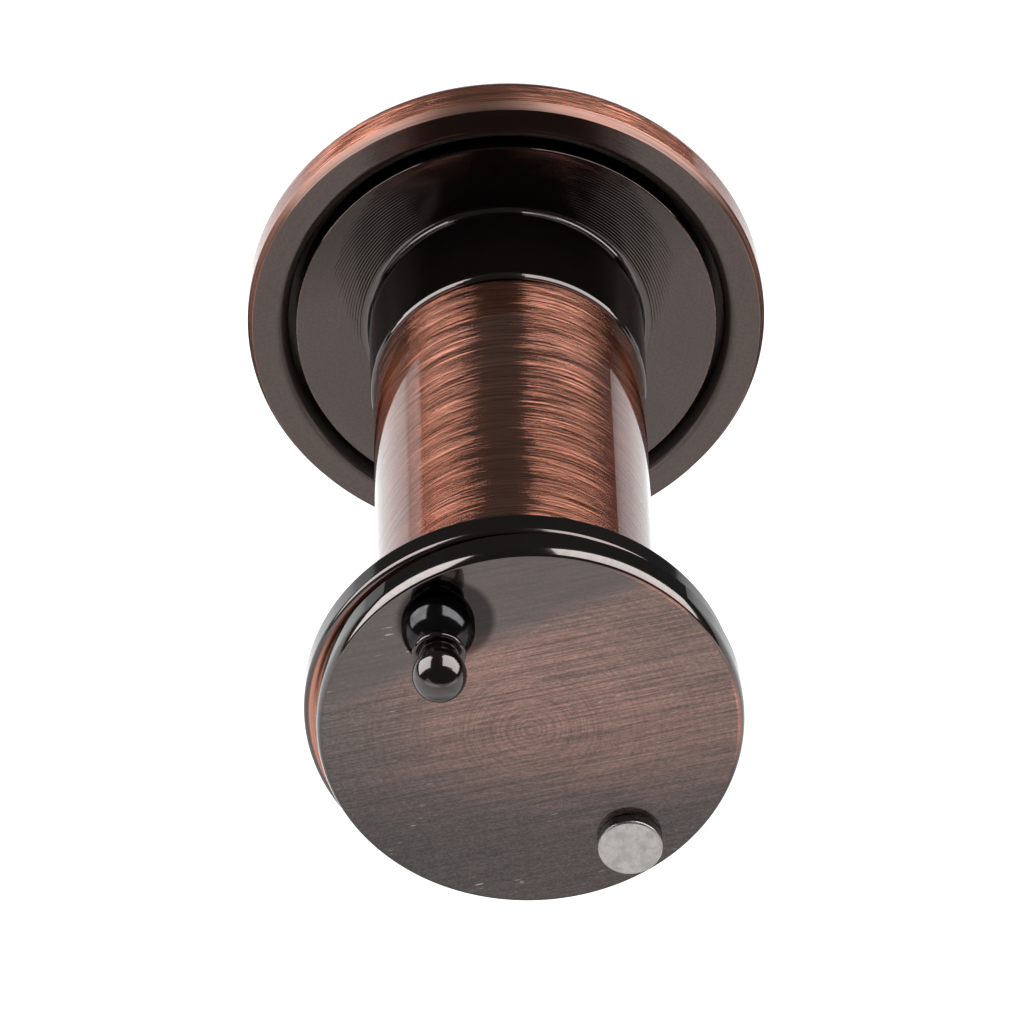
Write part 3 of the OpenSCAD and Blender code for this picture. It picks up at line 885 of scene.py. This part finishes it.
flange_outline = rounded([
    (sleeve_r + fit_gap, flange_back, 0),
    (flange_r, flange_back, flange_chamfer),
    (flange_r, flange_front, flange_round),
    (eye_hole, flange_front, eye_hole_round),
    (eye_hole, flange_front - lip_t, 0),
    (sleeve_r + fit_gap, flange_front - lip_t, 0),
])
flange_metal = finish("flange_copper", flange_finish)
flange = turned("flange_ring", flange_outline, flange_metal, segments=320)
rivet_hole = rounded([
    (0, flange_back - tail_spread, 0),
    (shank_r + tail_spread + rivet_play, flange_back - tail_spread, 0),
    (shank_r + tail_spread + rivet_play, rivet_tail, 0),
    (shank_r + rivet_play, rivet_tail + tail_spread, 0),
    (shank_r + rivet_play, flange_front + tail_spread, 0),
    (0, flange_front + tail_spread, 0),
])
drilled(flange, drill("rivet_hole", rivet_hole, flange_metal, rivet_axis))
dress(flange, "eyepiece_barrel", "dark_copper", "eyepiece_flange")

# Rivet, bush and washers
# A silver rivet holds the cover on the flange. A brass bush takes up its grip so that the cover can turn,
# and a wave washer under a plain one keeps the cover where it is put.
head_r = (rivet_high.x - rivet_low.x) / 2
head_top = -rivet_low.y
head_h = 1.2 * mm
head_round = 0.25 * mm
head_under_round = 0.06 * mm
tail_round = 0.08 * mm


def rivet_silver(wire, x, y, z):
    cloud = wire.noise(x / 0.9, y / 0.9, z / 0.9, detail=5.0, roughness=0.6)
    pits = wire.noise(x * 5, y * 5, z * 5, detail=3.0)
    dull = cloud.ramp(0.35, 0.7)
    return {
        "Metallic": 1.0,
        "Base Color": wire.blend(dull, (0.39, 0.374, 0.358, 1), (0.31, 0.30, 0.283, 1)),
        "Roughness": dull * 0.12 + pits.ramp(0.3, 0.7, 0.24, 0.32),
        "Normal": wire.tilted((pits - 0.5) * 0.05, 0.0, (cloud - 0.5) * 0.08),
    }


def spring_steel(wire, x, y, z):
    lines = wire.noise(x * 3, y * 3, z / 2, detail=3.0)
    return {
        "Metallic": 1.0,
        "Base Color": wire.blend(lines, (0.42, 0.41, 0.40, 1), (0.58, 0.57, 0.55, 1)),
        "Roughness": lines.ramp(0.2, 0.8, 0.22, 0.4),
    }


def bush_brass(wire, x, y, z):
    lines = wire.noise(x / 3, y * 9, z / 3, detail=3.0)
    return {
        "Metallic": 1.0,
        "Base Color": wire.blend(lines, (0.60, 0.43, 0.20, 1), (0.76, 0.58, 0.30, 1)),
        "Roughness": lines.ramp(0.2, 0.8, 0.2, 0.36),
    }


rivet_outline = rounded([
    (0, rivet_tail, 0),
    (shank_r + tail_spread, rivet_tail, tail_round),
    (shank_r, rivet_tail + tail_spread, 0),
    (shank_r, head_top - head_h, 0),
    (head_r, head_top - head_h, head_under_round),
    (head_r, head_top, head_round),
    (0, head_top, 0),
])
silver = finish("rivet_silver", rivet_silver)
rivet = turned("silver_rivet", rivet_outline, silver, rivet_axis, closed=False, segments=128)
dress(rivet, "eyepiece_barrel", "bright_steel", "pivot_rivet")
steel = finish("spring_steel", spring_steel)
coat_node(steel, "wave_washer", "thrust_washer")
coat_node(finish("bush_brass", bush_brass), "pivot_bush")

# Cover
# A thick disc that swings on the rivet, with a black gloss edge and a face brushed in straight strokes.
# The strokes bare the copper most across the middle and right, and leave the black at the upper left.
cover_low, cover_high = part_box("cover_plate")
cover_x = (cover_low.x + cover_high.x) / 2
cover_z = (cover_low.z + cover_high.z) / 2
cover_r = (cover_high.x - cover_low.x) / 2
cover_back = -cover_high.y
cover_front = -cover_low.y
cover_edge = 0.5 * mm
cover_edge_l = 1.4 * mm
cover_back_chamfer = 0.15 * mm
cover_flat = 0.1 * mm
pivot_hole_r = 2.2 * mm
screw_hole_r = 1.05 * mm
sink = 0.9 * mm
knob_low, knob_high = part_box("knob")
knob_axis = ((knob_low.x + knob_high.x) / 2, (knob_low.z + knob_high.z) / 2)
# The knob's painted shadow and reflection sit this far up and to the right of its axis.
knob_shadow_shift = 0.7 * mm
stroke_angle = math.radians(13)
# Painted shade colour for the bottom of the black plate.
painted_shade_black = (0.016, 0.011, 0.010, 1)
high_black = (0.064, 0.051, 0.047, 1)
knob_shadow_black = (0.010, 0.010, 0.011, 1)
scuff_pale = (0.55, 0.48, 0.46, 1)


def cover_finish(wire, x, y, z):
    """Straight strokes along u over black plate, with turning marks at the centre, painted shade darkening
    the black towards the bottom, and a painted shadow and reflection of the knob beside its foot.
    """
    u = x * math.cos(stroke_angle) + z * math.sin(stroke_angle)
    v = z * math.cos(stroke_angle) - x * math.sin(stroke_angle)
    broad = wire.noise(u / 40, y / 9, v * 0.9, detail=2.0)
    lines = wire.noise(u / 26, y / 9 + 3, v * 3.5, detail=1.0)
    hairs = wire.noise(u / 6, y / 9 + 5, v * 6, detail=0.0)
    grain = wire.noise(u * 3.5, y / 9, v * 6, detail=1.0)
    fine = wire.noise(u / 3, y / 9, v * 50, detail=1.0)
    shade = wire.noise(u / 16 + 5, y / 9, v / 6, detail=2.0)
    r = radius(wire, x - cover_x / mm, z - cover_z / mm)
    turning = wire.noise(r * 6.5, y / 9, 0.5, detail=0.0)
    nick = wire.noise(u / 1.4, y / 9 + 2, v * 5, detail=1.0).ramp(0.70, 0.78)
    scuff = nick * wire.noise(u / 5, y / 9 + 7, v / 5, detail=1.0).ramp(0.5, 0.7)
    rim = cover_r / mm
    face = r.ramp(rim - 0.6, rim - 0.5, 1.0, 0.0) * y.ramp(-68, -67.5, 1.0, 0.0)
    brushed = face * (v - u * 0.2 + (shade - 0.5) * 2).ramp(9.0, 12.6, 1.0, 0.1)
    lower = (v + u * 0.1 + (shade - 0.5) * 6).ramp(-12.0, 4.0, 0.1, 1.0)
    left = (u + (shade - 0.5) * 6).ramp(-20.0, 2.0, 0.12, 1.0)
    spread = brushed * lower * left * (u + v).ramp(8.0, 24.0, 0.175, 0.115)
    bare = spread * broad.ramp(0.36, 0.62, 0.96, 1.03) * lines.ramp(0.3, 0.65, 0.94, 1.06)
    tone = hairs.ramp(0.2, 0.7, 0.68, 1.32) * lines.ramp(0.3, 0.65, 0.92, 1.08)
    tone = tone * grain.ramp(0.3, 0.7, 0.86, 1.14)
    tone = tone * (1 + (turning.ramp(0.35, 0.65, 0.8, 1.16) - 1) * r.ramp(4.0, 12.0, 1.0, 0.4))
    tone = 1 + (tone - 1) * brushed.ramp(0.0, 1.0, 0.3, 1.0)
    worn = r.ramp(18.85, 18.98) * r.ramp(19.2, 19.35, 1.0, 0.0)
    worn = worn * x.ramp(6.0, 13.0) * z.ramp(-5.0, 2.0)
    bare = bare + worn * shade.ramp(0.4, 0.6, 0.05, 0.4)
    # Painted shadow and reflection of the knob: a darker, less coated patch offset up and to the right of its
    # foot.
    knob_shadow_x = (knob_axis[0] + knob_shadow_shift) / mm
    knob_shadow_z = (knob_axis[1] + knob_shadow_shift) / mm
    knob_shadow = radius(wire, x - knob_shadow_x, z - knob_shadow_z).ramp(4.0, 4.8, 1.0, 0.0)
    pale = grain.ramp(0.3, 0.75, 0.0, 0.042) * (0.25 + brushed * 0.75) + scuff * 0.5
    pale = face * pale * (1 - knob_shadow)
    lean = (fine - 0.5) * 1.8 * brushed
    # Painted shade: the black plate is made darker towards the bottom.
    black = wire.blend(z.ramp(-15.0, 9.0), painted_shade_black, high_black)
    black = wire.blend(knob_shadow, black, knob_shadow_black)
    metal = wire.blend(bare, black, copper).times(tone)
    return {
        **plated,
        "Coat Weight": 1 - knob_shadow * 0.5,
        "Base Color": wire.blend(pale, metal, scuff_pale),
        "Roughness": brushed.ramp(0.0, 1.0, 0.12, 0.22),
        "Normal": wire.tilted(lean * -math.sin(stroke_angle), 0.0, lean * math.cos(stroke_angle)),
    }


cover_outline = rounded([
    (0, cover_back, 0),
    (cover_r - cover_back_chamfer, cover_back, 0),
    (cover_r, cover_back + cover_back_chamfer, 0),
    (cover_r, cover_back + 2 * cover_back_chamfer, 0),
])
cover_outline += eased(cover_r, cover_front, cover_edge, cover_edge_l, steps=12)
cover_outline += [Vector((cover_r - cover_edge - cover_flat, cover_front)), Vector((0, cover_front))]
pivot_hole = [
    (0, cover_back - sink),
    (pivot_hole_r, cover_back - sink),
    (pivot_hole_r, cover_front + sink),
    (0, cover_front + sink),
]
screw_hole = [
    (0, cover_back - sink),
    (screw_hole_r + sink, cover_back - sink),
    (screw_hole_r + sink, cover_back),
    (screw_hole_r, cover_back + sink),
    (screw_hole_r, cover_front + sink),
    (0, cover_front + sink),
]
cover_metal = finish("cover_bronze", cover_finish)
cover = turned("brushed_cover", cover_outline, cover_metal, (cover_x, cover_z), closed=False, segments=320)
drilled(
    cover,
    drill("pivot_hole", pivot_hole, cover_metal, rivet_axis),
    drill("screw_hole", screw_hole, cover_metal, knob_axis),
)
dress(cover, "cover", "brushed_bronze", "cover_plate")

# Knob
# A small turned knob in polished black plate: domed foot, collar and ball.
# A countersunk screw holds it from behind the cover.
foot_r = (knob_high.x - knob_low.x) / 2
foot = -knob_high.y
foot_round = 0.1 * mm
foot_rim = 0.4 * mm
dome_h = 3.2 * mm
dome_top = foot + foot_rim + dome_h
stem_r = 1.7 * mm
stem_round = 0.1 * mm
stem_lead = 0.3 * mm
stem_tail = 0.2 * mm
collar_gap = 0.5 * mm
collar_r = 2.45 * mm
collar_t = 0.7 * mm
collar_round = 0.25 * mm
collar_front = dome_top + collar_gap
collar_back = collar_front + collar_t
ball_r = 2.5 * mm
ball_station = -knob_low.y - ball_r
knob_steps = 40
dome_black = (0.021, 0.021, 0.022, 1)

knob_outline = rounded([(0, foot, 0), (foot_r, foot, foot_round), (foot_r, foot + foot_rim, 0)])
dome_end = math.acos(stem_r / foot_r)
for k in range(1, knob_steps + 1):
    a = dome_end * k / knob_steps
    knob_outline.append(Vector((foot_r * math.cos(a), foot + foot_rim + dome_h * math.sin(a))))
knob_outline += rounded([
    (stem_r, collar_front - stem_lead, 0),
    (stem_r, collar_front, stem_round),
    (collar_r, collar_front, collar_round),
    (collar_r, collar_back, collar_round),
    (stem_r, collar_back, stem_round),
    (stem_r, collar_back + stem_tail, 0),
])[1:]
ball_start = math.asin(stem_r / ball_r)
for k in range(knob_steps + 1):
    a = ball_start + (math.pi - ball_start) * k / knob_steps
    knob_outline.append(Vector((ball_r * math.sin(a), ball_station - ball_r * math.cos(a))))


def knob_gloss(wire, x, y, z):
    """Black gloss, with a duller lacquer on the domed foot."""
    dome = y.ramp(-dome_top / mm, -dome_top / mm + 0.1)
    dull = wire.noise(x, y, z, detail=3.0).ramp(0.3, 0.7, 0.6, 0.9)
    gloss = black_gloss(wire, x, y, z)
    return {
        **gloss,
        "Base Color": wire.blend(dome, gloss["Base Color"], dome_black),
        "Coat Weight": 1 - dome * dull,
    }


knob_plate = finish("knob_gloss_plate", knob_gloss)
knob = turned("ball_knob", knob_outline, knob_plate, knob_axis, closed=False, segments=192)
dress(knob, "cover", "black_nickel", "knob")
coat_node(steel, "knob_screw")
